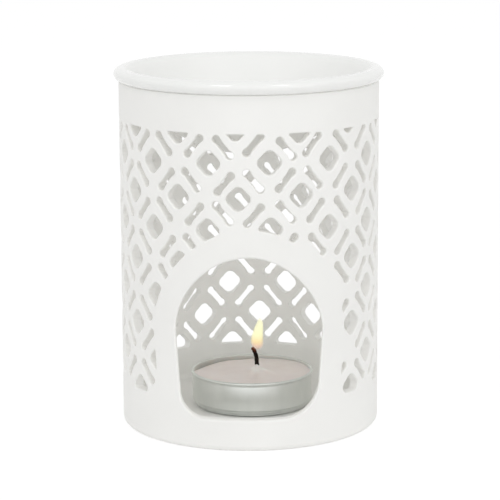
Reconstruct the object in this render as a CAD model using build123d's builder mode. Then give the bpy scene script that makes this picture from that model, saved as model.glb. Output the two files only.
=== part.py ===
# Essential oil burner: a pierced ceramic cylinder with a glazed dish on top and a tealight inside.
# Millimetres, +Z up. The origin is at the centre of the base, and the front opening faces -Y.

import os
from math import asin, cos, radians, sin

from build123d import *

# Overall sizes
total_height = 112.2
rim_diameter = 83.5

# Burner body: wall, floor and edges
lip_overhang = 1.5
wall = 3.2
floor_thickness = 4.2
foot_rounding = 1.9
inside_rounding = 2.5
top_edge_rounding = 0.6
cut_over = 1.0

# Front opening, seen from the front
opening_width = 44.2
opening_sill_width = 40.6
opening_sill_z = 9.8
opening_spring_z = 35.7
opening_top_z = 59.5
opening_corner = 8.6

# Plain border that the pattern leaves round the opening
border_beside = 7.0
border_above = 8.5

# Pierced pattern: rows of four-lobed holes, staggered by half a column, a little closer together in front
column_count = 13
pattern_turn = 9.2
front_crowding_share = 0.03
row_spacing = 10.2
top_row_z = 97.8
full_row_count = 8
band_top_z = 96.6
band_bottom_z = 14.9

# Four-lobed hole
lobed_hole_width = 7.3
lobed_hole_height = 7.4
lobe_radius = 1.9
lobed_hole_core_radius = 3.15

# Slot between two lobed holes, widened at both ends
slot_length = 8.4
slot_width = 1.8
slot_end_diameter = 2.1
slot_tilt = 50.0

# Dish
dish_wall = 3.0
dish_seat_below_rim = 4.0
dish_seat_inset = 0.7
dish_clearance = 0.6
lip_bulge_below_rim = 1.8
lip_crest_inset = 2.85
lip_rounding = 4.0
bowl_depth = 24.0

# Tealight
candle_x = 0.6
candle_y = 1.4
cup_diameter = 37.8
cup_height = 11.2
cup_thickness = 0.3
cup_corner = 2.0
rim_roll_diameter = 0.9
wax_below_rim = 0.9
wax_mound_height = 1.3
wax_mound_radius = 4.5
wick_diameter = 1.2
wick_offset_x = 1.6
wick_offset_y = 2.0
wick_straight = 1.6
wick_lean_rise = 2.2
wick_lean = 0.45
wick_tip_rise = 4.35
wick_tip_lean = 1.85
sustainer_diameter = 12.5
sustainer_thickness = 0.3
sustainer_collar_diameter = 2.2
sustainer_collar_height = 3.0

# Worked out from the sizes above
rim_radius = rim_diameter / 2
body_radius = rim_radius - lip_overhang
inner_radius = body_radius - wall
seat_z = total_height - dish_seat_below_rim
column_step = 360 / column_count
lobe_reach_x = lobed_hole_width / 2 - lobe_radius
lobe_reach_z = lobed_hole_height / 2 - lobe_radius
cup_radius = cup_diameter / 2
wax_height = cup_height - wax_below_rim
wick_x = candle_x + wick_offset_x
wick_y = candle_y + wick_offset_y
wick_foot_z = floor_thickness + cup_thickness

# Upright planes through the two axes of the tealight, with the profile's height measured from the floor
candle_plane = Plane(origin=(candle_x, candle_y, floor_thickness), x_dir=(1, 0, 0), z_dir=(0, -1, 0))
candle_axis = Axis((candle_x, candle_y, 0), (0, 0, 1))
wick_plane = Plane(origin=(wick_x, wick_y, floor_thickness), x_dir=(1, 0, 0), z_dir=(0, -1, 0))
wick_axis = Axis((wick_x, wick_y, 0), (0, 0, 1))
wick_foot_plane = Plane(origin=(wick_x, wick_y, wick_foot_z))


def arch_outline(beside, above):
    """Draws the opening's outline, grown by a border beside it and above it."""
    half_width = opening_width / 2 + beside
    half_sill = opening_sill_width / 2 + beside
    sill_z = opening_sill_z - beside
    rise = opening_top_z + above - opening_spring_z
    with BuildLine() as outline:
        Polyline(
            (-half_width, opening_spring_z),
            (-half_sill, sill_z),
            (half_sill, sill_z),
            (half_width, opening_spring_z),
        )
        EllipticalCenterArc((0, opening_spring_z), half_width, rise, arc_size=180)
    make_face(outline.edges())


def wall_plane(angle, z):
    """A plane that touches the outside of the body, turned to the right of the front by about the angle."""
    turn = radians(angle)
    turn -= front_crowding_share * sin(turn)
    outward = (sin(turn), -cos(turn), 0)
    place = (body_radius * outward[0], body_radius * outward[1], z)
    return Plane(origin=place, x_dir=(cos(turn), sin(turn), 0), z_dir=outward)


def row_z(row):
    """Height of a row of lobed holes. Row 0 is the cut row at the top of the band."""
    return top_row_z - row * row_spacing


def column_angle(row, column):
    """Angle of a lobed hole. Every second row is set back by half a column."""
    stagger = 0 if row % 2 else -column_step / 2
    return pattern_turn + column * column_step + stagger


def lobed_hole():
    """A round core with four lobes."""
    Circle(lobed_hole_core_radius)
    with Locations((lobe_reach_x, 0), (-lobe_reach_x, 0), (0, lobe_reach_z), (0, -lobe_reach_z)):
        Circle(lobe_radius)


def slot_hole(tilt):
    """A narrow slot with two round ends."""
    between_ends = slot_length - slot_end_diameter
    Rectangle(between_ends, slot_width, rotation=tilt)
    with PolarLocations(between_ends / 2, 2, start_angle=tilt):
        Circle(slot_end_diameter / 2)


def cup_profile(inset, top, mode=Mode.ADD):
    """Half of the cup's outline, inset by a thickness and closed at a height."""
    side = cup_radius - inset
    corner_x = cup_radius - cup_corner
    with BuildLine() as outline:
        Polyline((corner_x, inset), (0, inset), (0, top), (side, top), (side, cup_corner))
        CenterArc((corner_x, cup_corner), cup_corner - inset, -90, arc_size=90)
    make_face(outline.edges(), mode=mode)


# Where the holes of the pattern lie. A slot lies across the way from a hole to the next one down.
hole_planes = []
rising_slot_planes = []
falling_slot_planes = []
for column in range(column_count):
    for row in range(full_row_count + 1):
        hole_planes.append(wall_plane(column_angle(row, column), row_z(row)))
    for row in range(full_row_count):
        slot_z = row_z(row + 1) + row_spacing / 2
        above = column_angle(row, column)
        rising_slot_planes.append(wall_plane(above + column_step / 4, slot_z))
        falling_slot_planes.append(wall_plane(above - column_step / 4, slot_z))

# All the material that the piercing takes out of the wall, kept off the border of the opening
with BuildPart() as pattern:
    with BuildSketch(*hole_planes):
        lobed_hole()
    with BuildSketch(*rising_slot_planes):
        slot_hole(slot_tilt)
    with BuildSketch(*falling_slot_planes):
        slot_hole(-slot_tilt)
    extrude(amount=-(wall + cut_over))
    with BuildSketch(Plane.XY.offset(band_bottom_z)):
        Circle(body_radius + cut_over)
    extrude(amount=band_top_z - band_bottom_z, mode=Mode.INTERSECT)
    with BuildSketch(Plane.XZ) as border:
        arch_outline(border_beside, border_above)
        fillet(border.vertices().group_by(Axis.Y)[0], opening_corner + border_beside)
    extrude(amount=body_radius + cut_over, mode=Mode.SUBTRACT)

# Burner body: a cylinder, closed below and open above, with the arched opening in front
with BuildPart() as burner_body:
    with BuildSketch(Plane.XY):
        Circle(body_radius)
    extrude(amount=seat_z)
    fillet(burner_body.edges().group_by(Axis.Z)[0], foot_rounding)
    with BuildSketch(Plane.XY.offset(floor_thickness)):
        Circle(inner_radius)
    extrude(amount=seat_z - floor_thickness, mode=Mode.SUBTRACT)
    fillet(burner_body.edges().group_by(Axis.Z)[-1], top_edge_rounding)
    inside_floor = burner_body.faces().filter_by(Plane.XY).sort_by(Axis.Z)[1]
    fillet(inside_floor.edges(), inside_rounding)
    with BuildSketch(Plane.XZ) as opening:
        arch_outline(0, 0)
        fillet(opening.vertices().group_by(Axis.Y)[0], opening_corner)
    extrude(amount=body_radius + cut_over, mode=Mode.SUBTRACT)
    add(pattern.part, mode=Mode.SUBTRACT)
burner_body.part.label = "burner_body"

# Heights and radii of the dish. Its bowl is part of a sphere that runs smoothly into the lip's rounding.
bulge_z = total_height - lip_bulge_below_rim
bowl_floor_z = total_height - bowl_depth
under_floor_z = bowl_floor_z - dish_wall
lip_crest_radius = rim_radius - lip_crest_inset
lip_foot_radius = body_radius - dish_seat_inset
shoulder_radius = inner_radius - dish_clearance
bowl_and_rounding = (lip_crest_radius**2 + bowl_depth**2) / (2 * bowl_depth)
bowl_sphere = bowl_and_rounding - lip_rounding
mouth_slope = asin(lip_crest_radius / bowl_and_rounding)
mouth_direction = (cos(mouth_slope), sin(mouth_slope))
bowl_mouth = (bowl_sphere * sin(mouth_slope), bowl_floor_z + bowl_sphere * (1 - cos(mouth_slope)))
under_sphere = bowl_sphere + dish_wall
shoulder_z = bowl_floor_z + bowl_sphere - (under_sphere**2 - shoulder_radius**2) ** 0.5

# Oil dish: a rolled lip over the body's edge and a deep round bowl hanging inside it
with BuildPart() as oil_dish:
    with BuildSketch(Plane.XZ):
        with BuildLine():
            TangentArc((0, bowl_floor_z), bowl_mouth, tangent=(1, 0))
            TangentArc(bowl_mouth, (lip_crest_radius, total_height), tangent=mouth_direction)
            EllipticalCenterArc(
                (lip_crest_radius, bulge_z),
                lip_crest_inset,
                total_height - bulge_z,
                arc_size=90,
            )
            EllipticalCenterArc(
                (lip_foot_radius, bulge_z),
                rim_radius - lip_foot_radius,
                bulge_z - seat_z,
                start_angle=-90,
                arc_size=90,
            )
            Line((lip_foot_radius, seat_z), (shoulder_radius, seat_z))
            Line((shoulder_radius, seat_z), (shoulder_radius, shoulder_z))
            TangentArc((0, under_floor_z), (shoulder_radius, shoulder_z), tangent=(1, 0))
            Line((0, under_floor_z), (0, bowl_floor_z))
        make_face()
    revolve(axis=Axis.Z)
oil_dish.part.label = "oil_dish"

# Tealight cup: thin metal with a rounded bottom corner and a rolled rim
cup_wall_top = cup_height - rim_roll_diameter / 2
with BuildPart() as tealight_cup:
    with BuildSketch(candle_plane):
        cup_profile(0, cup_wall_top)
        cup_profile(cup_thickness, cup_wall_top + cut_over, Mode.SUBTRACT)
        with Locations((cup_radius, cup_wall_top)):
            Circle(rim_roll_diameter / 2)
    revolve(axis=candle_axis)
tealight_cup.part.label = "tealight_cup"

# Wick sustainer: the metal disc on the cup's floor, with the collar that holds the wick upright
with BuildPart() as wick_sustainer:
    with BuildSketch(wick_foot_plane):
        Circle(sustainer_diameter / 2)
    extrude(amount=sustainer_thickness)
    with BuildSketch(wick_foot_plane):
        Circle(sustainer_collar_diameter / 2)
    extrude(amount=sustainer_collar_height)
    with BuildSketch(wick_foot_plane):
        Circle(wick_diameter / 2)
    extrude(amount=sustainer_collar_height, mode=Mode.SUBTRACT)
wick_sustainer.part.label = "wick_sustainer"

# Wick: straight through the wax, then leaning and curling to the left
wick_bend_z = wax_height + wax_mound_height + wick_straight
wick_lean_end = (-wick_lean, wick_bend_z + wick_lean_rise)
wick_tip = (-wick_tip_lean, wick_bend_z + wick_tip_rise)
with BuildPart() as wick:
    with BuildLine(wick_plane):
        Line((0, cup_thickness), (0, wick_bend_z))
        lean = TangentArc((0, wick_bend_z), wick_lean_end, tangent=wick_plane.y_dir)
        TangentArc(wick_lean_end, wick_tip, tangent=lean % 1)
    with BuildSketch(wick_foot_plane):
        Circle(wick_diameter / 2)
    sweep()
wick.part.label = "wick"

# Candle wax: it fills the cup, climbs a little at the wick, and holds the wick and its disc
with BuildPart() as candle_wax:
    with BuildSketch(candle_plane):
        cup_profile(cup_thickness, wax_height)
    revolve(axis=candle_axis)
    with BuildSketch(wick_plane):
        with BuildLine():
            climb = TangentArc(
                (wax_mound_radius, wax_height),
                (wick_diameter / 2, wax_height + wax_mound_height),
                tangent=(-1, 0),
            )
            Polyline(
                climb @ 1,
                (0, wax_height + wax_mound_height),
                (0, wax_height),
                climb @ 0,
            )
        make_face()
    revolve(axis=wick_axis)
    add(wick_sustainer.part, mode=Mode.SUBTRACT)
    add(wick.part, mode=Mode.SUBTRACT)
candle_wax.part.label = "candle_wax"

os.makedirs("parts", exist_ok=True)
export_step(burner_body.part, "parts/burner_body.step")
export_step(oil_dish.part, "parts/oil_dish.step")
export_step(tealight_cup.part, "parts/tealight_cup.step")
export_step(wick_sustainer.part, "parts/wick_sustainer.step")
export_step(wick.part, "parts/wick.step")
export_step(candle_wax.part, "parts/candle_wax.step")
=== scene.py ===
"""Essential oil burner: a pierced ceramic cylinder, a glazed dish on top and a lit tealight inside."""
from functools import partial
from math import atan2, cos, exp, hypot, pi, radians, sin

import bpy
import numpy as np
from mathutils import Matrix, Vector
from mathutils.geometry import delaunay_2d_cdt


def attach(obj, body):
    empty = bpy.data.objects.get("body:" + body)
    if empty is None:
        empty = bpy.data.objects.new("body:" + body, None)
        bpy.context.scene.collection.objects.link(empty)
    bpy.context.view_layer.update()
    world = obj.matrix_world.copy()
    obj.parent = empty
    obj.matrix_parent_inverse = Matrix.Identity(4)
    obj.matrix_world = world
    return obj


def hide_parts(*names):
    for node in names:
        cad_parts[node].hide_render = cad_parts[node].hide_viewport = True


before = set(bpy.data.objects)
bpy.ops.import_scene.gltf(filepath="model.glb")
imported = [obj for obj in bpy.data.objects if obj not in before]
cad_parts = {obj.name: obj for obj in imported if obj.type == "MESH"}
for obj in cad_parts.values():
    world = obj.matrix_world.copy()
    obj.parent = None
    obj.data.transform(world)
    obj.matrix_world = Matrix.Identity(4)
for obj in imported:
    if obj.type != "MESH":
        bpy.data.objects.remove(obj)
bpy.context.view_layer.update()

# Shapes are worked out in millimetres and made in metres
MM = 0.001

# Camera, fitted to the outline, the rim and foot and the rows of holes, in metres, pitch in degrees and roll in radians
CAMERA_PLACE = (0, -0.7, 0.19597)
CAMERA_PITCH = 11.46
CAMERA_ROLL = -0.005
CAMERA_LENS = 163.78
CAMERA_SHIFT = 0.00084

# Body
BODY_R = 40.25
INNER_R = 37.05
WALL = BODY_R - INNER_R
SEAT_Z = 108.2
FLOOR_Z = 4.2
FOOT_ROUND = 1.9
INSIDE_ROUND = 2.5
TOP_ROUND = 0.6
AROUND = 240
# Spacing of the loose points between the holes, up and across, and how far they keep off a rounded edge
LOOSE_ROW = 1.9
LOOSE_STEP = 2.2
LOOSE_GAP = 0.7

# Front opening
OPEN_HALF = 22.1
OPEN_HALF_SILL = 20.3
OPEN_SILL = 9.8
OPEN_SPRING = 35.7
OPEN_TOP = 59.5
OPEN_CORNER = 8.6
OPEN_OFF_MIDDLE = -0.3
OPEN_UNEVEN = 1.6
OPEN_SHOULDER = 0.7
OPEN_MIDDLE_Z = 33.0
OPEN_ROUNDS = (0.8, 0.5)
OPEN_REACH = 60
OPEN_POINTS = 200
BORDER_BESIDE = 7.0
BORDER_ABOVE = 8.5

# Pattern
COLUMNS = 13
COLUMN_STEP = 2 * pi / COLUMNS
PATTERN_TURN = radians(9.2)
FRONT_CROWDING = 0.03
ROW_SPACING = 10.2
TOP_ROW_Z = 97.8
ROWS = 8
BAND_TOP = 96.6
BAND_BOTTOM = 14.9
SLOT_TILT = radians(50)
SLOT_REACH = 3.15
SLOT_HALF = 0.95
SLOT_END_R = 1.2
SLOT_POINTS = 34
LOBED_CORE_R = 3.15
LOBE_R = 1.9
LOBES = ((1.75, 0), (-1.75, 0), (0, 1.8), (0, -1.8))
LOBED_POINTS = 44
# How far a hole reaches from its middle, how deep its field is at least, and how round its two edges are
HOLE_REACH = 5.5
HOLE_DEPTH = 0.35
HOLE_ROUNDS = (0.5, 0.3)
CUT_BLEND = 0.6
# How far each hand-cut hole lies off the even pattern, across and up, by column, row and, for a slot, its side
HAND_CUT = {
    (0, 0): (-1, 0.5), (0, 0, 1): (-0.3, 0.9), (0, 1): (-0.2, 0.5), (0, 1, -1): (-0.3, 0.1),
    (0, 1, 1): (-0.1, 0.2), (0, 2): (-0.2, -0.1), (0, 2, -1): (-0.2, 0.6), (0, 2, 1): (-0.2, 0.1),
    (0, 3): (0, 0.8), (0, 3, -1): (-1.1, 0), (0, 3, 1): (0.7, 1), (0, 4): (-0.8, -0.7),
    (0, 4, -1): (-0.4, -0.4), (0, 4, 1): (-0.5, -0.7), (0, 5): (-0.1, -0.3), (0, 5, -1): (-0.1, -0.8),
    (0, 5, 1): (0, -0.6), (0, 6): (0, -0.8), (0, 6, -1): (0.2, -0.9), (0, 6, 1): (0, 0.6), (0, 7): (-0.1, 0.3),
    (0, 7, -1): (-0.2, -0.5), (0, 7, 1): (0, 0.2), (0, 8): (0.1, 0.3), (1, 0): (-0.3, -0.5),
    (1, 0, -1): (0.2, -0.6), (1, 0, 1): (-0.9, 0.3), (1, 1): (0.6, 0.6), (1, 1, -1): (-0.5, 0.5),
    (1, 1, 1): (0.3, 0), (1, 2): (0.3, 0.5), (1, 2, -1): (0, 0.9), (1, 2, 1): (0.4, 0.7), (1, 3): (0.4, 0.4),
    (1, 3, -1): (0.9, 0.6), (1, 3, 1): (1.1, 0.1), (1, 4): (0.1, 0.2), (1, 4, -1): (-0.6, -0.7),
    (1, 4, 1): (-0.2, -0.2), (1, 5, -1): (-0.3, -0.3), (1, 5, 1): (1, -1), (1, 6): (0.3, -0.5),
    (1, 6, -1): (-0.4, -1), (1, 6, 1): (-0.6, -1), (1, 7): (-0.2, 0.1), (1, 7, -1): (0.2, 0.4),
    (1, 7, 1): (-0.1, -0.1), (1, 8): (0.4, 0), (2, 0): (-1, 1), (2, 0, -1): (0.3, 0.4), (2, 0, 1): (0.4, 0.8),
    (2, 1, -1): (0.9, 0), (2, 2): (0.8, 0.6), (2, 2, -1): (0.8, 0.7), (2, 2, 1): (1.1, 1),
    (2, 3, -1): (1.1, 0.4), (2, 4): (0.9, 0.3), (2, 4, -1): (1, 1), (2, 4, 1): (1.1, 0.5),
    (2, 5, -1): (1.1, 0.4), (2, 6): (0.7, -0), (2, 6, -1): (-0.4, 0.3), (2, 6, 1): (1.1, 0.3),
    (2, 7, -1): (0.8, -0.2), (2, 8): (0.6, 0.6), (5, 7): (0.4, -0.4), (5, 7, 1): (0.5, -0.6),
    (6, 6): (0.4, -0.5), (6, 6, -1): (0.7, -0.3), (6, 6, 1): (0.3, -0.4), (6, 7): (-0.1, -0.7),
    (6, 7, -1): (0.1, -1), (6, 7, 1): (0.2, -0.9), (6, 8): (0, -0.6), (7, 6): (0.4, -0.7),
    (7, 6, -1): (0.2, -0.4), (7, 6, 1): (0.2, -0.4), (7, 7): (-0.1, -0.9), (7, 7, -1): (-0.3, -1),
    (7, 7, 1): (0, -1), (7, 8): (-0.3, -0.9), (8, 6, -1): (0.1, -0.4), (11, 0): (-0.3, -0.6),
    (11, 0, 1): (-0.5, 0), (11, 1): (-0.8, -0.5), (11, 1, -1): (-1.1, 0), (11, 1, 1): (0, -0.4),
    (11, 2): (-1, -0.4), (11, 2, 1): (-0.6, -0.2), (11, 3): (-0.6, -0.2), (11, 3, -1): (-0.3, -0.3),
    (11, 3, 1): (0.2, -0.4), (11, 4): (-0.6, -0.6), (11, 4, 1): (-0.5, -0.2), (11, 5): (0, -0.6),
    (11, 5, -1): (-0.4, -0.4), (11, 5, 1): (1.1, 0), (11, 6): (-0.4, -0.5), (11, 6, 1): (0.5, 0),
    (11, 7): (0.6, -0.3), (11, 7, -1): (0.3, 0.1), (11, 8): (1, -0.4), (12, 0): (-0.4, -0.9),
    (12, 0, -1): (-0.9, 0.1), (12, 0, 1): (0.2, 0.1), (12, 1): (0.2, 0.2), (12, 1, -1): (-0.7, 0.1),
    (12, 1, 1): (0.3, -0.7), (12, 2): (-0.5, -0.2), (12, 2, -1): (-0.9, 0.5), (12, 2, 1): (0.3, 0),
    (12, 3): (-0.2, 0.3), (12, 3, -1): (-0.4, 0.6), (12, 3, 1): (-0.4, -0.2), (12, 4, -1): (-0.6, 0.6),
    (12, 4, 1): (-0.2, 0), (12, 5): (0, -0.4), (12, 5, -1): (0, -0.8), (12, 5, 1): (0.1, -0.3),
    (12, 6): (0.1, -0.5), (12, 6, -1): (0.3, -0.2), (12, 6, 1): (0.4, -0.6), (12, 7): (0, 1),
    (12, 7, -1): (0.2, 0.2), (12, 7, 1): (-0.1, 0.2), (12, 8): (1, -0.3),
}

# Tealight
CANDLE = (0.6, 1.4)
CUP_R = 18.9
CUP_H = 11.2
CUP_WALL = 0.3
ROLL = 0.45
WAX_Z = FLOOR_Z + 10.3
WICK = (2.2, 3.4)
MOUND = 1.3
WICK_RISE = 7.25
# Rings pressed into the foot of the cup: inset, height, radius and the angles that each runs through
CUP_STEPS = ((1.4, 0.8, 0.5, -80, -10), (0.85, 1.5, 0.4, -100, -10), (0.5, 2.4, 0.5, -80, 0))
# Middle line of the wick: leaning to the left, how far, and at what height
WICK_LINE = (
    (0, FLOOR_Z + 0.35), (0, WAX_Z), (0, WAX_Z + MOUND), (-0.04, WAX_Z + MOUND + 1.3), (-0.16, WAX_Z + MOUND + 2.5),
    (-0.45, WAX_Z + MOUND + 3.8), (-0.75, WAX_Z + WICK_RISE - 1.2), (-1.2, WAX_Z + WICK_RISE - 0.4),
    (-1.85, WAX_Z + WICK_RISE),
)

# Flame: its foot and tip, its radius by share of its height, and the sizes of its shells
FLAME_LOW, FLAME_HIGH = 20.7, 31.6
FLAME_SHARES = (0, 0.04, 0.1, 0.2, 0.32, 0.45, 0.6, 0.75, 0.88, 0.96, 1)
FLAME_RADII = (0, 1.0, 1.6, 1.95, 2.0, 1.85, 1.6, 1.3, 0.9, 0.5, 0)
FLAME_SHELLS = (1.0, 0.87, 0.74, 0.6, 0.44)


# ---------------------------------------------------------------- camera

def make_camera():
    data = bpy.data.cameras.new("camera")
    data.sensor_width = 36
    data.lens = CAMERA_LENS
    data.shift_x = CAMERA_SHIFT
    data.clip_start = 0.05
    data.clip_end = 20
    camera = bpy.data.objects.new("camera", data)
    place = Matrix.Translation(CAMERA_PLACE)
    tilt = Matrix.Rotation(radians(90 - CAMERA_PITCH), 4, "X")
    roll = Matrix.Rotation(CAMERA_ROLL, 4, "Z")
    camera.matrix_world = place @ tilt @ roll
    bpy.context.scene.collection.objects.link(camera)
    bpy.context.scene.camera = camera


make_camera()


# ---------------------------------------------------------------- mesh helpers

def make_mesh(name, points_mm, faces, material, normals=None):
    """A smooth mesh object from points in millimetres."""
    mesh = bpy.data.meshes.new(name)
    mesh.from_pydata([tuple(p) for p in np.asarray(points_mm) * MM], [], [tuple(map(int, f)) for f in faces])
    mesh.validate()
    mesh.polygons.foreach_set("use_smooth", [True] * len(mesh.polygons))
    mesh.materials.append(material)
    if normals is not None:
        mesh.normals_split_custom_set_from_vertices([tuple(n) for n in normals])
    mesh.update()
    obj = bpy.data.objects.new(name, mesh)
    bpy.context.scene.collection.objects.link(obj)
    return obj


def lathe(profile, centre, around):
    """Points and faces of a profile of (radius, height) turned about an upright axis. A radius of 0 is a pole.

    The profile runs so that the outside is on its right.
    """
    points, faces, rings = [], [], []
    turns = np.arange(around) * 2 * pi / around
    for radius, height in profile:
        if radius == 0:
            rings.append([len(points)] * around)
            points.append((centre[0], centre[1], height))
            continue
        rings.append(list(range(len(points), len(points) + around)))
        for turn in turns:
            points.append((centre[0] + radius * sin(turn), centre[1] - radius * cos(turn), height))
    for low, high in zip(rings, rings[1:]):
        faces += strip(low, high)
    return points, faces


def strip(low, high):
    """Faces between two closed rings, either of which may be a pole."""
    count = len(low)
    faces = []
    for i in range(count):
        j = (i + 1) % count
        corners = [low[i], low[j], high[j], high[i]]
        kept = [c for k, c in enumerate(corners) if c not in corners[:k]]
        if len(kept) > 2:
            faces.append(kept)
    return faces


def arc(centre_r, centre_z, radius, start, end, count):
    """Points of an arc in a profile. Angles in degrees, 0 outward and 90 up."""
    angles = np.radians(np.linspace(start, end, count + 1))
    return [(centre_r + radius * cos(a), centre_z + radius * sin(a)) for a in angles]


# ---------------------------------------------------------------- outlines of the holes, as signed distances

def smooth_min(a, b, blend):
    share = np.clip(0.5 + 0.5 * (b - a) / blend, 0, 1)
    return b + (a - b) * share - blend * share * (1 - share)


def smooth_max(a, b, blend):
    return -smooth_min(-a, -b, blend)


def smooth_step(t):
    t = np.clip(0.5 + 0.5 * t, 0, 1)
    return t * t * (3 - 2 * t)


def lobed_hole(u, z):
    """Distance to the edge of a four-lobed hole, below zero inside it."""
    distance = np.hypot(u, z) - LOBED_CORE_R
    for lobe_u, lobe_z in LOBES:
        distance = smooth_min(distance, np.hypot(u - lobe_u, z - lobe_z) - LOBE_R, 0.35)
    return distance


def slot_hole(u, z, tilt):
    """Distance to the edge of a slot with two round, slightly wider ends."""
    along = np.abs(u * cos(tilt) + z * sin(tilt))
    across = -u * sin(tilt) + z * cos(tilt)
    middle = np.hypot(np.maximum(along - SLOT_REACH, 0), across) - SLOT_HALF
    end = np.hypot(along - SLOT_REACH, across) - SLOT_END_R
    return smooth_min(middle, end, 0.5)


def arch(x, z, beside=0.0, above=0.0):
    """Distance to the edge of the front opening, grown by a border, below zero inside it.

    It is cut by hand: a little off the middle, tighter in its lower left corner and lower on its right shoulder.
    """
    half, half_sill = OPEN_HALF + beside, OPEN_HALF_SILL + beside
    sill, rise = OPEN_SILL - beside, OPEN_TOP + above - OPEN_SPRING
    x = x - OPEN_OFF_MIDDLE
    right = smooth_step(x / 6)
    corner = OPEN_CORNER + beside + OPEN_UNEVEN * (2 * right - 1)
    shoulder = np.where(x > 0, 1.0, 0.35) * OPEN_SHOULDER
    x = np.abs(x)
    up = np.maximum(z - OPEN_SPRING, 0)
    q = np.maximum(np.hypot(x / half, up / rise), 1e-6)
    slope = np.hypot(x / half**2, up / rise**2) / q
    upper = (q - 1) / np.maximum(slope, 1e-6) + shoulder * (2 * x * up / (half * rise)) ** 2
    side = half_sill + (half - half_sill) * (z - sill) / (OPEN_SPRING - sill)
    out_x, out_z = x - side + corner, sill + corner - z
    square = np.maximum(x - side, sill - z)
    lower = np.where((out_x > 0) & (out_z > 0), np.hypot(out_x, out_z) - corner, square)
    return np.where(z > OPEN_SPRING, upper, lower)


class Hole:
    """A hole cut straight through the wall along the radius in its middle.

    distance gives the distance to its edge at a place across and up from its middle, reach is how far it can
    stretch, count is the number of points along its edge, and rounds are its roundings outside and inside.
    """

    def __init__(self, turn, z, distance, reach, count, rounds):
        self.turn, self.z, self.distance = turn, z, distance
        self.reach, self.count = reach, count
        self.outer_round, self.inner_round = rounds

    def slope(self, u, z):
        """How the distance grows across and upwards."""
        step = 0.01
        du = (self.distance(u + step, z) - self.distance(u - step, z)) / (2 * step)
        dz = (self.distance(u, z + step) - self.distance(u, z - step)) / (2 * step)
        return du, dz

    def outline(self):
        """Points along the hole's edge, evenly spaced, or nothing where the border leaves too little of the hole."""
        across = np.linspace(-self.reach, self.reach, 221)
        grid_u, grid_z = np.meshgrid(across, across)
        field = self.distance(grid_u, grid_z)
        deepest = np.unravel_index(np.argmin(field), field.shape)
        if field[deepest] > -HOLE_DEPTH:
            return None
        # Rays from the deepest place, each followed to the edge by halving
        mid_u, mid_z = grid_u[deepest], grid_z[deepest]
        angles = np.linspace(0, 2 * pi, 721)[:-1]
        radii = np.linspace(0, 1.6 * self.reach, 400)
        rays = self.distance(mid_u + np.outer(np.cos(angles), radii), mid_z + np.outer(np.sin(angles), radii))
        first = np.argmax(rays > 0, axis=1)
        inside, outside = radii[first - 1], radii[first]
        for _ in range(30):
            middle = (inside + outside) / 2
            out = self.distance(mid_u + middle * np.cos(angles), mid_z + middle * np.sin(angles)) > 0
            outside = np.where(out, middle, outside)
            inside = np.where(out, inside, middle)
        u, z = mid_u + inside * np.cos(angles), mid_z + inside * np.sin(angles)
        u, z = np.append(u, u[0]), np.append(z, z[0])
        length = np.concatenate(([0], np.cumsum(np.hypot(np.diff(u), np.diff(z)))))
        even = np.linspace(0, length[-1], self.count + 1)[:-1]
        return self.drawn_to(np.interp(even, length, u), np.interp(even, length, z), 0.0)

    def drawn_to(self, u, z, level):
        """Moves points straight to where the distance has the given value."""
        for _ in range(4):
            du, dz = self.slope(u, z)
            size = np.maximum(du**2 + dz**2, 0.05)
            step = (level - self.distance(u, z)) / size
            u, z = u + step * du, z + step * dz
        return u, z

    def rings(self):
        """Rings from the outer surface through the wall to the inner one: points and normals."""
        drawn = self.outline()
        if drawn is None:
            return None
        # How far each ring lies outside the edge and inside the wall, and its normal's share along the radius
        # and into the hole
        steps = []
        for roll in np.radians((0, 22.5, 45, 67.5, 90)):
            size = self.outer_round
            steps.append((size * (1 - sin(roll)), size * (1 - cos(roll)), cos(roll), sin(roll)))
        steps.append((0, self.outer_round + 0.5 * (WALL - self.outer_round - self.inner_round), 0, 1))
        for roll in np.radians((90, 60, 30, 0)):
            size = self.inner_round
            steps.append((size * (1 - sin(roll)), WALL - size * (1 - cos(roll)), -cos(roll), sin(roll)))
        du, dz = self.slope(*drawn)
        length = np.hypot(du, dz)
        into_u, into_z = -du / length, -dz / length
        result = []
        for grow, depth, face, edge in steps:
            u, z = drawn if grow == 0 else self.drawn_to(*drawn, grow)
            radius = BODY_R - depth
            turn = self.turn + np.arcsin(u / radius)
            points = np.c_[radius * np.sin(turn), -radius * np.cos(turn), self.z + z]
            normals = np.c_[
                face * np.sin(turn) + edge * into_u * cos(self.turn),
                -face * np.cos(turn) + edge * into_u * sin(self.turn),
                edge * into_z,
            ]
            normals /= np.linalg.norm(normals, axis=1)[:, None]
            result.append((points, normals))
        return result


def crowded(turn):
    """Angle of a column: a little closer together in front."""
    turn = (turn + pi) % (2 * pi) - pi
    return turn - FRONT_CROWDING * sin(turn)


def row_z(row):
    return TOP_ROW_Z - row * ROW_SPACING


def hand_cut(key, turn, z):
    """Moves a hole from its even place to where the knife cut it."""
    across, up = HAND_CUT.get(key, (0, 0))
    return turn + across / BODY_R, z + up


def pattern_edge(turn, mid_z, shape):
    """The shape of one hole, kept inside the band and off the border of the opening."""
    def edge(u, z):
        height = mid_z + z
        distance = shape(u, z)
        distance = smooth_max(distance, height - BAND_TOP, CUT_BLEND)
        distance = smooth_max(distance, BAND_BOTTOM - height, CUT_BLEND)
        faces_front = cos(turn) > 0.3
        if faces_front:
            x = BODY_R * np.sin(turn + np.arcsin(np.clip(u / BODY_R, -1, 1)))
            distance = smooth_max(distance, -arch(x, height, BORDER_BESIDE, BORDER_ABOVE), CUT_BLEND)
        return distance
    return edge


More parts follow.
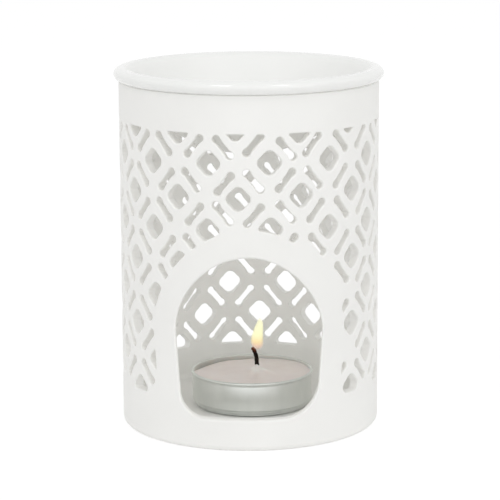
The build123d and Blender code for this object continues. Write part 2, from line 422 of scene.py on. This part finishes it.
def all_holes():
    holes = [Hole(0, OPEN_MIDDLE_Z, lambda u, z: arch(u, z + OPEN_MIDDLE_Z), OPEN_REACH, OPEN_POINTS, OPEN_ROUNDS)]
    for column in range(COLUMNS):
        for row in range(ROWS + 1):
            base = PATTERN_TURN + column * COLUMN_STEP - (0 if row % 2 else COLUMN_STEP / 2)
            turn, z = hand_cut((column, row), crowded(base), row_z(row))
            edge = pattern_edge(turn, z, lobed_hole)
            holes.append(Hole(turn, z, edge, HOLE_REACH, LOBED_POINTS, HOLE_ROUNDS))
            if row < ROWS:
                even_z = row_z(row + 1) + ROW_SPACING / 2
                for side in (1, -1):
                    turn, z = hand_cut((column, row, side), crowded(base + side * COLUMN_STEP / 4), even_z)
                    edge = pattern_edge(turn, z, partial(slot_hole, tilt=side * SLOT_TILT))
                    holes.append(Hole(turn, z, edge, HOLE_REACH, SLOT_POINTS, HOLE_ROUNDS))
    return holes


# ---------------------------------------------------------------- burner body

def loose_points(radius, low_z, high_z, holes):
    """Places between the holes, in staggered rows, as angle and height."""
    rows = int((high_z - low_z) / LOOSE_ROW)
    count = int(2 * pi * radius / LOOSE_STEP)
    loose = []
    for row in range(1, rows):
        turns = (np.arange(count) + 0.5 * (row % 2)) * 2 * pi / count
        loose.append(np.c_[turns, np.full(count, low_z + (high_z - low_z) * row / rows)])
    loose = np.vstack(loose)
    free = np.ones(len(loose), dtype=bool)
    for hole in holes:
        lag = (loose[:, 0] - hole.turn + pi) % (2 * pi) - pi
        reach = hole.reach + 2
        near = (np.abs(lag) < min(1.2, reach / radius)) & (np.abs(loose[:, 1] - hole.z) < reach)
        gap = hole.distance(radius * np.sin(lag[near]), loose[near, 1] - hole.z)
        free[np.where(near)[0][gap < hole.outer_round + LOOSE_GAP]] = False
    return loose[free]


def inside_loop(places, loop):
    """Which places on a plane lie inside a closed loop: those from which a line crosses it an odd number of times."""
    after = np.roll(loop, -1, axis=0)
    x, y = places[:, :1], places[:, 1:]
    crosses = (loop[:, 1] > y) != (after[:, 1] > y)
    with np.errstate(divide="ignore", invalid="ignore"):
        at = loop[:, 0] + (y - loop[:, 1]) * (after[:, 0] - loop[:, 0]) / (after[:, 1] - loop[:, 1])
    return (crosses & (x < at)).sum(axis=1) % 2 == 1


def sheet_of_wall(radius, low_ring, high_ring, hole_rings, holes, points, normals, outward):
    """Faces of the outer or inner surface between two level rings, with the holes left open."""
    low_z, high_z = points[low_ring[0]][2], points[high_ring[0]][2]
    ids, places, edges, ring_of = [], [], [], []
    closed = [low_ring, high_ring] + hole_rings
    for number, ring in enumerate(closed):
        start = len(ids)
        for k, vertex in enumerate(ring):
            x, y, z = points[vertex]
            ids.append(vertex)
            places.append((atan2(x, -y), z))
            ring_of.append(number)
            edges.append((start + k, start + (k + 1) % len(ring)))
    face = 1 if outward else -1
    for turn, z in loose_points(radius, low_z, high_z, holes):
        ids.append(len(points))
        points.append((radius * sin(turn), -radius * cos(turn), z))
        normals.append((face * sin(turn), -face * cos(turn), 0))
        places.append((turn, z))
        ring_of.append(-1)
    # The cylinder is laid out as a ring on a plane, without a seam and without distortion of angles
    flat = [Vector((exp((z - low_z) / radius) * cos(t), exp((z - low_z) / radius) * sin(t))) for t, z in places]
    out = delaunay_2d_cdt(flat, edges, [], 0, 1e-9)
    assert len(out[0]) == len(flat)
    triangles = np.array([list(t) for t in out[2]])
    ring_of = np.array(ring_of)
    flat = np.array([tuple(v) for v in flat])
    # Triangles whose corners all lie on one ring may fill it: they are left out inside the low ring and the holes
    kept = np.ones(len(triangles), dtype=bool)
    owner = ring_of[triangles]
    same = (owner[:, 0] == owner[:, 1]) & (owner[:, 1] == owner[:, 2]) & (owner[:, 0] >= 0)
    kept[same & (owner[:, 0] == 0)] = False
    middles = flat[triangles].mean(axis=1)
    for number in range(2, len(closed)):
        mine = np.where(same & (owner[:, 0] == number))[0]
        if len(mine):
            kept[mine[inside_loop(middles[mine], flat[ring_of == number])]] = False
    triangles = np.array(ids)[triangles[kept]]
    # All facing the same way, out of the ceramic
    corner = np.array(points)[triangles]
    facing = np.cross(corner[:, 1] - corner[:, 0], corner[:, 2] - corner[:, 0])
    middle = corner.mean(axis=1)
    away = (facing[:, 0] * middle[:, 0] + facing[:, 1] * middle[:, 1]) > 0
    turned = away != outward
    triangles[turned] = triangles[turned][:, ::-1]
    return [tuple(t) for t in triangles]


def make_body(material):
    points, normals, faces = [], [], []
    holes, hole_vertices = [], []
    for hole in all_holes():
        rings = hole.rings()
        if rings is None:
            continue
        ids = []
        for ring_points, ring_normals in rings:
            ids.append(list(range(len(points), len(points) + len(ring_points))))
            points += [tuple(p) for p in ring_points]
            normals += [tuple(n) for n in ring_normals]
        for near, far in zip(ids, ids[1:]):
            faces += strip(near, far)
        holes.append(hole)
        hole_vertices.append(ids)

    turns = np.arange(AROUND) * 2 * pi / AROUND

    def ring(radius, z, normal):
        ids = list(range(len(points), len(points) + AROUND))
        for turn in turns:
            points.append((radius * sin(turn), -radius * cos(turn), z))
            normals.append((normal[0] * sin(turn), -normal[0] * cos(turn), normal[1]))
        return ids

    def rounding(mid_r, mid_z, size, start, end, count, side=1):
        ids = []
        for a in np.radians(np.linspace(start, end, count + 1)):
            ids.append(ring(mid_r + size * cos(a), mid_z + size * sin(a), (side * cos(a), side * sin(a))))
        return ids

    def pole(z, up):
        points.append((0, 0, z))
        normals.append((0, 0, up))
        return [len(points) - 1] * AROUND

    outside_low = rounding(BODY_R - FOOT_ROUND, FOOT_ROUND, FOOT_ROUND, -90, 0, 10)
    under = [pole(0, -1)] + [ring(r, 0, (0, -1)) for r in (12, 25)] + outside_low
    for low, high in zip(under, under[1:]):
        faces += strip(low, high)
    top = rounding(BODY_R - TOP_ROUND, SEAT_Z - TOP_ROUND, TOP_ROUND, 0, 90, 4)
    top += rounding(INNER_R + TOP_ROUND, SEAT_Z - TOP_ROUND, TOP_ROUND, 90, 180, 4)
    for low, high in zip(top, top[1:]):
        faces += strip(low, high)
    inside_mid = (INNER_R - INSIDE_ROUND, FLOOR_Z + INSIDE_ROUND)
    inside = rounding(*inside_mid, INSIDE_ROUND, 0, -90, 8, side=-1)
    inside += [ring(r, FLOOR_Z, (0, 1)) for r in (30, 22, 12)] + [pole(FLOOR_Z, 1)]
    for low, high in zip(inside, inside[1:]):
        faces += strip(low, high)

    outer = [ids[0] for ids in hole_vertices]
    inner = [ids[-1] for ids in hole_vertices]
    faces += sheet_of_wall(BODY_R, outside_low[-1], top[0], outer, holes, points, normals, True)
    faces += sheet_of_wall(INNER_R, inside[0], top[-1], inner, holes, points, normals, False)
    return make_mesh("pierced_body", points, faces, material, normals)


# ---------------------------------------------------------------- materials

def new_material(name, sockets):
    material = bpy.data.materials.new(name)
    material.use_nodes = True
    shader = material.node_tree.nodes["Principled BSDF"]
    for socket, value in sockets.items():
        shader.inputs[socket].default_value = value
    return material, material.node_tree.nodes, material.node_tree.links, shader


def add_noise(nodes, links, scale, detail=4.0, roughness=0.55, stretch=(1, 1, 1)):
    place = nodes.new("ShaderNodeTexCoord")
    mapping = nodes.new("ShaderNodeMapping")
    mapping.inputs["Scale"].default_value = stretch
    noise = nodes.new("ShaderNodeTexNoise")
    noise.inputs["Scale"].default_value = scale
    noise.inputs["Detail"].default_value = detail
    noise.inputs["Roughness"].default_value = roughness
    links.new(place.outputs["Object"], mapping.inputs["Vector"])
    links.new(mapping.outputs["Vector"], noise.inputs["Vector"])
    return noise.outputs["Fac"]


def add_ramp(nodes, links, source, *stops):
    ramp = nodes.new("ShaderNodeValToRGB")
    elements = ramp.color_ramp.elements
    while len(elements) < len(stops):
        elements.new(0.5)
    for element, (place, colour) in zip(elements, stops):
        element.position = place
        element.color = (*colour, 1)
    links.new(source, ramp.inputs["Fac"])
    return ramp.outputs["Color"]


def add_axis_range(nodes, links, near, far, low=0.0, high=1.0):
    """A value that runs from low to high between two distances in millimetres from the upright axis."""
    place = nodes.new("ShaderNodeTexCoord")
    flat = nodes.new("ShaderNodeVectorMath")
    flat.operation = "MULTIPLY"
    flat.inputs[1].default_value = (1, 1, 0)
    links.new(place.outputs["Object"], flat.inputs[0])
    radius = nodes.new("ShaderNodeVectorMath")
    radius.operation = "LENGTH"
    links.new(flat.outputs["Vector"], radius.inputs[0])
    share = nodes.new("ShaderNodeMapRange")
    share.inputs["From Min"].default_value = near * MM
    share.inputs["From Max"].default_value = far * MM
    share.inputs["To Min"].default_value = low
    share.inputs["To Max"].default_value = high
    links.new(radius.outputs["Value"], share.inputs["Value"])
    return share.outputs["Result"]


def add_height_range(nodes, links, low, high):
    """A value that runs from 0 to 1 between two heights in millimetres."""
    place = nodes.new("ShaderNodeTexCoord")
    parts = nodes.new("ShaderNodeSeparateXYZ")
    links.new(place.outputs["Object"], parts.inputs["Vector"])
    share = nodes.new("ShaderNodeMapRange")
    share.inputs["From Min"].default_value = low * MM
    share.inputs["From Max"].default_value = high * MM
    links.new(parts.outputs["Z"], share.inputs["Value"])
    return share.outputs["Result"]


def add_mix(nodes, links, share, first, second):
    """A colour that runs from the first to the second, which are outputs."""
    mix = nodes.new("ShaderNodeMix")
    mix.data_type = "RGBA"
    links.new(share, mix.inputs["Factor"])
    links.new(first, mix.inputs["A"])
    links.new(second, mix.inputs["B"])
    return mix.outputs["Result"]


def add_bump(nodes, links, source, strength, distance, shader):
    bump = nodes.new("ShaderNodeBump")
    bump.inputs["Strength"].default_value = strength
    bump.inputs["Distance"].default_value = distance
    links.new(source, bump.inputs["Height"])
    links.new(bump.outputs["Normal"], shader.inputs["Normal"])


def bisque():
    """Matt, unglazed white ceramic with very fine grain and faint unevenness, with painted light: the inside gets a
    paler colour than the outside so that it renders brighter.
    """
    sockets = {"Roughness": 0.62, "IOR": 1.45, "Specular IOR Level": 0.3}
    material, nodes, links, shader = new_material("matte_ceramic", sockets)
    tone = add_noise(nodes, links, 45, 3)
    outside = add_ramp(nodes, links, tone, (0.3, (0.895, 0.889, 0.87)), (0.7, (0.92, 0.914, 0.895)))
    inside = add_ramp(nodes, links, tone, (0.3, (0.955, 0.953, 0.943)), (0.7, (0.97, 0.968, 0.958)))
    # Painted light: a paler copy of the colour on the inner surface stands in for light inside the body
    painted_light_inside_share = add_axis_range(nodes, links, INNER_R, BODY_R - 1.5)
    links.new(add_mix(nodes, links, painted_light_inside_share, inside, outside), shader.inputs["Base Color"])
    grain = add_noise(nodes, links, 2600, 3)
    add_bump(nodes, links, grain, 0.12, 0.00012, shader)
    return material


def glaze():
    """Clear gloss over white ceramic, laid a little unevenly, shining on the lip and satin in the bowl."""
    material, nodes, links, shader = new_material("glazed_ceramic", {"IOR": 1.55})
    links.new(add_axis_range(nodes, links, 37.0, 39.0, 0.5, 0.11), shader.inputs["Roughness"])
    tone = add_noise(nodes, links, 40, 2)
    colour = add_ramp(nodes, links, tone, (0.3, (0.87, 0.872, 0.857)), (0.7, (0.89, 0.89, 0.877)))
    links.new(colour, shader.inputs["Base Color"])
    wave = add_noise(nodes, links, 95, 2)
    add_bump(nodes, links, wave, 0.12, 0.0004, shader)
    return material


def drawn_metal():
    """Thin drawn aluminium: satin, a little cloudy, with faint upright draw lines."""
    # The draw lines run up the wall, so they spread a highlight sideways
    material, nodes, links, shader = new_material("cup_metal", {"Metallic": 1.0, "Anisotropic": 0.8})
    cloud = add_noise(nodes, links, 120, 4, 0.55, (1, 1, 0.5))
    colour = add_ramp(nodes, links, cloud, (0.35, (0.74, 0.76, 0.735)), (0.65, (0.82, 0.835, 0.81)))
    links.new(colour, shader.inputs["Base Color"])
    shade = add_ramp(nodes, links, cloud, (0.35, (0.38, 0.38, 0.38)), (0.65, (0.48, 0.48, 0.48)))
    links.new(shade, shader.inputs["Roughness"])
    lines = add_noise(nodes, links, 420, 4, 0.6, (1, 1, 0.08))
    add_bump(nodes, links, lines, 0.12, 0.0001, shader)
    return material


def tinned_metal():
    """Dull tinned steel with short scratches."""
    material, nodes, links, shader = new_material("sustainer_metal", {"Metallic": 1.0, "Roughness": 0.35})
    grain = add_noise(nodes, links, 1200, 3, 0.6, (1, 6, 1))
    colour = add_ramp(nodes, links, grain, (0.3, (0.5, 0.5, 0.49)), (0.7, (0.62, 0.62, 0.61)))
    links.new(colour, shader.inputs["Base Color"])
    add_bump(nodes, links, grain, 0.2, 0.0001, shader)
    return material


def paraffin():
    """Translucent wax, faintly warm, smooth where it has melted and set again, with painted light on the raised wax at
    the wick.
    """
    sockets = {
        "Roughness": 0.38, "IOR": 1.44,
        "Subsurface Weight": 0.3, "Subsurface Radius": (1.0, 0.75, 0.6), "Subsurface Scale": 0.0025,
    }
    material, nodes, links, shader = new_material("wax", sockets)
    tone = add_noise(nodes, links, 180, 4)
    melted = add_ramp(nodes, links, tone, (0.3, (0.87, 0.785, 0.765)), (0.7, (0.92, 0.845, 0.825)))
    painted_light_pale = nodes.new("ShaderNodeRGB").outputs["Color"]
    painted_light_pale.default_value = (0.97, 0.93, 0.915, 1)
    # Painted light: paler where it stands up at the wick, so that the mound and the ridge look lit
    height = add_height_range(nodes, links, WAX_Z - 0.1, WAX_Z + 0.6)
    links.new(add_mix(nodes, links, height, melted, painted_light_pale), shader.inputs["Base Color"])
    grain = add_noise(nodes, links, 700, 4)
    add_bump(nodes, links, grain, 0.25, 0.0003, shader)
    return material


def charred_cotton():
    """Burnt black cotton that turns brown towards the tip."""
    material, nodes, links, shader = new_material("wick_cotton", {"Roughness": 0.9, "Specular IOR Level": 0.1})
    colour = add_ramp(
        nodes, links, add_height_range(nodes, links, WAX_Z + 1, WAX_Z + WICK_RISE),
        (0.0, (0.02, 0.016, 0.013)), (0.72, (0.012, 0.009, 0.008)), (0.95, (0.12, 0.035, 0.018)),
    )
    links.new(colour, shader.inputs["Base Color"])
    grain = add_noise(nodes, links, 2500, 4)
    add_bump(nodes, links, grain, 0.8, 0.0003, shader)
    return material


# ---------------------------------------------------------------- pieces

matte_ceramic = bisque()
glazed_ceramic = glaze()
cup_metal = drawn_metal()
sustainer_metal = tinned_metal()
wax = paraffin()
wick_cotton = charred_cotton()

body = make_body(matte_ceramic)
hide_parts("burner_body")
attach(body, "burner")


def repaint(node, material):
    """Gives a CAD node its material."""
    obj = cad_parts[node]
    for slot in obj.material_slots:
        slot.material = material


repaint("oil_dish", glazed_ceramic)
repaint("wick_sustainer", sustainer_metal)


def make_cup():
    """A drawn cup: pressed rings at its foot, a rolled rim and a thin wall."""
    top = FLOOR_Z + CUP_H - ROLL
    profile = [(0, FLOOR_Z), (15, FLOOR_Z), (CUP_R - 1.9, FLOOR_Z + 0.1)]
    for inset, height, radius, start, end in CUP_STEPS:
        profile += arc(CUP_R - inset, FLOOR_Z + height, radius, start, end, 5)
    profile += [(CUP_R, FLOOR_Z + 4), (CUP_R, top - 1.0), (CUP_R - 0.12, top - 0.55)]
    profile += arc(CUP_R, top, ROLL, -70, 180, 16)
    inner = CUP_R - CUP_WALL
    profile += [(inner - 0.1, top - 0.6), (inner, FLOOR_Z + 2.6), (inner - 1.0, FLOOR_Z + 1.8)]
    profile += arc(inner - 2.5, FLOOR_Z + CUP_WALL + 1.0, 1.0, 0, -90, 6)
    profile += [(8, FLOOR_Z + CUP_WALL), (0, FLOOR_Z + CUP_WALL)]
    points, faces = lathe(profile, CANDLE, 180)
    return make_mesh("drawn_cup", points, faces, cup_metal)


cup = make_cup()
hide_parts("tealight_cup")
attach(cup, "tealight")


def hump(offset, width):
    """1 at no offset, falling smoothly to about a third at the width."""
    return exp(-((offset / width) ** 2))


def wax_top(x, y):
    """Height of the wax at a place measured from the middle of the cup."""
    turn = atan2(x, -y)
    from_wick = hypot(x - (WICK[0] - CANDLE[0]), y - (WICK[1] - CANDLE[1]))
    mound = (MOUND + 0.3) * exp(-((from_wick / 1.8) ** 1.2))
    # A ridge that runs forward from the wick and widens, and a short one to its right
    ahead = max(2.0 - y, 0)
    ridge = 0.75 * hump(x - 1.4 + 0.12 * ahead, 0.8 + 0.12 * ahead) * hump(ahead, 6.5) if y < 2.0 else 0
    spur = 0.6 * hump(x - 4.4, 2.4) * hump(y + 0.4 * x - 1.6, 0.8)
    # The wax climbs the metal: highest in front, ragged all round, lowest behind on the left
    edge = 0.35 + 0.3 * cos(turn)
    edge += 0.16 * sin(3 * turn + 0.6) + 0.1 * sin(7 * turn) + 0.07 * sin(12 * turn + 2)
    edge -= 1.3 * hump(turn + 2.1, 0.6) + 0.35 * hump(abs(turn) - 3.0, 0.5)
    climb = edge * exp(-((CUP_R - CUP_WALL - hypot(x, y)) / 1.3))
    swell = 0.12 * sin(0.33 * x + 0.8) * cos(0.29 * y - 0.4)
    return WAX_Z - 0.25 + mound + ridge + climb + spur + swell


def make_wax():
    """The wax: it fits the cup below, and above its rings close in on the wick."""
    side = CUP_R - CUP_WALL
    around = 144
    shares = np.concatenate((np.linspace(0, 0.86, 34), np.linspace(0.88, 1, 10)))
    centre = (WICK[0] - CANDLE[0], WICK[1] - CANDLE[1])
    low = FLOOR_Z + CUP_WALL
    bottom = [(0, low), (10, low)] + arc(side - 3.2, low + 2.2, 2.2, -90, 0, 6) + [(side - 0.05, low + 3.2)]
    points, faces = lathe(bottom, CANDLE, around)
    rings = [list(range(len(points) - around, len(points)))]
    for share in shares[:0:-1]:
        rings.append(list(range(len(points), len(points) + around)))
        for turn in np.arange(around) * 2 * pi / around:
            x = centre[0] * (1 - share) + side * share * sin(turn)
            y = centre[1] * (1 - share) - side * share * cos(turn)
            points.append((CANDLE[0] + x, CANDLE[1] + y, wax_top(x, y)))
    rings.append([len(points)] * around)
    points.append((*WICK, wax_top(*centre)))
    for lower, upper in zip(rings, rings[1:]):
        faces += strip(lower, upper)
    return make_mesh("set_wax", points, faces, wax)


wax_piece = make_wax()
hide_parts("candle_wax")
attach(wax_piece, "tealight")


def make_wick():
    """A burnt wick: a rough tube along a leaning, curling line."""
    steps, around, smoothed = 60, 20, 20
    path = np.array(WICK_LINE)
    length = np.concatenate(([0], np.cumsum(np.hypot(*np.diff(path, axis=0).T))))
    even = np.linspace(0, length[-1], steps + 1)
    # A smooth line through the points, by averaging a fine polyline
    fine = np.linspace(0, length[-1], 10 * steps + 1)
    x, z = np.interp(fine, length, path[:, 0]), np.interp(fine, length, path[:, 1])
    kernel = np.ones(2 * smoothed + 1) / (2 * smoothed + 1)
    x = np.convolve(np.pad(x, smoothed, mode="edge"), kernel, mode="valid")
    z = np.convolve(np.pad(z, smoothed, mode="reflect", reflect_type="odd"), kernel, mode="valid")
    x, z = np.interp(even, fine, x), np.interp(even, fine, z)
    tangent = np.gradient(np.c_[x, z], axis=0)
    tangent /= np.linalg.norm(tangent, axis=1)[:, None]
    points, faces, rings = [], [], []
    for k in range(steps + 1):
        radius = 0.76 - 0.16 * k / steps + 0.06 * sin(k * 1.3)
        if k in (0, steps):
            rings.append([len(points)] * around)
            points.append((WICK[0] + x[k], WICK[1], z[k]))
            continue
        if k == steps - 1:
            radius *= 0.7
        rings.append(list(range(len(points), len(points) + around)))
        for j in range(around):
            turn = 2 * pi * j / around
            braid = 1 + 0.09 * sin(3 * turn + 0.55 * k) + 0.05 * sin(5 * turn - 0.8 * k)
            across, deep = radius * braid * cos(turn), radius * braid * sin(turn)
            points.append((WICK[0] + x[k] + across * tangent[k, 1], WICK[1] + deep, z[k] - across * tangent[k, 0]))
    for lower, upper in zip(rings, rings[1:]):
        faces += strip(lower, upper)
    return make_mesh("burnt_wick", points, faces, wick_cotton)


wick = make_wick()
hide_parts("wick")
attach(wick, "tealight")


def flame_light():
    """Light that is given off, with the foot fainter and redder than the rest."""
    material = bpy.data.materials.new("flame_light")
    material.use_nodes = True
    nodes, links = material.node_tree.nodes, material.node_tree.links
    nodes.clear()
    height = add_height_range(nodes, links, FLAME_LOW, FLAME_HIGH)
    colour = add_ramp(
        nodes, links, height,
        (0.0, (0.75, 0.5, 0.4)), (0.14, (0.92, 0.6, 0.44)), (0.28, (1.0, 0.8, 0.42)), (0.5, (1.0, 0.98, 0.6)),
        (1.0, (1, 0.98, 0.68)),
    )
    density = add_ramp(
        nodes, links, height,
        (0.0, (0.02, 0.02, 0.02)), (0.2, (0.16, 0.16, 0.16)), (0.45, (0.33, 0.33, 0.33)), (0.85, (0.3, 0.3, 0.3)),
        (1.0, (0.1, 0.1, 0.1)),
    )
    glow = nodes.new("ShaderNodeEmission")
    glow.inputs["Strength"].default_value = 1.05
    clear = nodes.new("ShaderNodeBsdfTransparent")
    mix = nodes.new("ShaderNodeMixShader")
    output = nodes.new("ShaderNodeOutputMaterial")
    links.new(colour, glow.inputs["Color"])
    links.new(density, mix.inputs["Fac"])
    links.new(clear.outputs[0], mix.inputs[1])
    links.new(glow.outputs[0], mix.inputs[2])
    links.new(mix.outputs[0], output.inputs["Surface"])
    return material


def make_flame():
    """Clear glowing shells one inside the other, so that the edge is soft from every side."""
    points, faces = [], []
    around, steps = 36, 30
    for shell in FLAME_SHELLS:
        rings = []
        low = FLAME_LOW + 1.2 * (1 - shell)
        high = FLAME_HIGH - 3.0 * (1 - shell)
        for k in range(steps + 1):
            share = k / steps
            outer = float(np.interp(share, FLAME_SHARES, FLAME_RADII))
            # Upright on its right side, so that the tip stands to the right of the foot
            mid_x = min(WICK[0] + 0.95, max(WICK[0], WICK[0] + 2.0 - outer)) if share > 0.2 else WICK[0] + 0.1
            z, radius = low + (high - low) * share, shell * outer
            if k in (0, steps):
                rings.append([len(points)] * around)
                points.append((mid_x, WICK[1], z))
                continue
            rings.append(list(range(len(points), len(points) + around)))
            for j in range(around):
                turn = 2 * pi * j / around
                points.append((mid_x + radius * sin(turn), WICK[1] - radius * cos(turn), z))
        for lower, upper in zip(rings, rings[1:]):
            faces += strip(lower, upper)
    flame = make_mesh("flame", points, faces, flame_light())
    flame.visible_shadow = False
    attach(flame, "tealight")


make_flame()


# ---------------------------------------------------------------- floor, light and background

def make_floor():
    """A white floor that keeps a faint shadow. What the camera and reflections see is lifted to white."""
    material = bpy.data.materials.new("floor_white")
    material.use_nodes = True
    nodes, links = material.node_tree.nodes, material.node_tree.links
    nodes.clear()
    rough = nodes.new("ShaderNodeBsdfDiffuse")
    rough.inputs["Color"].default_value = (0.9, 0.9, 0.9, 1)
    white = nodes.new("ShaderNodeEmission")
    white.inputs["Strength"].default_value = 1.13
    share = nodes.new("ShaderNodeMath")
    share.operation = "MULTIPLY"
    share.inputs[1].default_value = 0.72
    links.new(seen_rays(nodes, links), share.inputs[0])
    mix = nodes.new("ShaderNodeMixShader")
    output = nodes.new("ShaderNodeOutputMaterial")
    links.new(share.outputs[0], mix.inputs["Fac"])
    links.new(rough.outputs[0], mix.inputs[1])
    links.new(white.outputs[0], mix.inputs[2])
    links.new(mix.outputs[0], output.inputs["Surface"])
    bpy.ops.mesh.primitive_circle_add(vertices=96, radius=4, fill_type="NGON", location=(0, 0, 0))
    floor = bpy.context.object
    floor.name = "floor"
    floor.data.materials.append(material)


def seen_rays(nodes, links):
    """1 for rays from the camera, reflections and clear materials, 0 for the rest."""
    path = nodes.new("ShaderNodeLightPath")
    source = path.outputs["Is Camera Ray"]
    for kind in ("Is Glossy Ray", "Is Transmission Ray"):
        either = nodes.new("ShaderNodeMath")
        either.operation = "MAXIMUM"
        links.new(source, either.inputs[0])
        links.new(path.outputs[kind], either.inputs[1])
        source = either.outputs[0]
    return source


def area_light(name, place, aim, size, power):
    """A rectangular lamp at a place, turned towards another."""
    data = bpy.data.lights.new(name, "AREA")
    data.shape = "RECTANGLE"
    data.size, data.size_y = size
    data.energy = power
    light = bpy.data.objects.new(name, data)
    light.location = place
    light.rotation_euler = (Vector(aim) - Vector(place)).to_track_quat("-Z", "Y").to_euler()
    bpy.context.scene.collection.objects.link(light)


def make_world():
    """White for the rays that are seen, soft light for the rest."""
    world = bpy.data.worlds.new("world")
    bpy.context.scene.world = world
    world.use_nodes = True
    nodes, links = world.node_tree.nodes, world.node_tree.links
    nodes.clear()
    white = nodes.new("ShaderNodeBackground")
    white.inputs["Color"].default_value = (1, 1, 1, 1)
    soft = nodes.new("ShaderNodeBackground")
    soft.inputs["Color"].default_value = (0.995, 1.0, 0.995, 1)
    # Light comes mostly from all round, less from above
    place = nodes.new("ShaderNodeTexCoord")
    parts = nodes.new("ShaderNodeSeparateXYZ")
    links.new(place.outputs["Generated"], parts.inputs["Vector"])
    level = nodes.new("ShaderNodeMapRange")
    level.inputs["From Min"].default_value = 0.1
    level.inputs["From Max"].default_value = 0.95
    level.inputs["To Min"].default_value = 0.9
    level.inputs["To Max"].default_value = 0.64
    links.new(parts.outputs["Z"], level.inputs["Value"])
    links.new(level.outputs["Result"], soft.inputs["Strength"])
    mix = nodes.new("ShaderNodeMixShader")
    output = nodes.new("ShaderNodeOutputWorld")
    links.new(seen_rays(nodes, links), mix.inputs["Fac"])
    links.new(soft.outputs[0], mix.inputs[1])
    links.new(white.outputs[0], mix.inputs[2])
    links.new(mix.outputs[0], output.inputs["Surface"])


make_floor()
make_world()
area_light("left_strip", (-0.287, -0.41, 0.966), (0, 0, 0.1), (0.2, 0.26), 1.0)
area_light("right_strip", (0.328, -0.377, 0.966), (0, 0, 0.1), (0.18, 0.26), 0.95)
area_light("left_box", (-0.6, -1.02, 0.3), (0, 0, 0.05), (1.0, 0.8), 0.9)
area_light("right_box", (0.68, -0.96, 0.3), (0, 0, 0.05), (1.0, 0.8), 1.2)

# Light finds its way out of the pierced body over many bounces
bpy.context.scene.cycles.max_bounces = 20
bpy.context.scene.cycles.diffuse_bounces = 14
bpy.context.scene.cycles.transparent_max_bounces = 16
bpy.context.scene.view_settings.view_transform = "Standard"
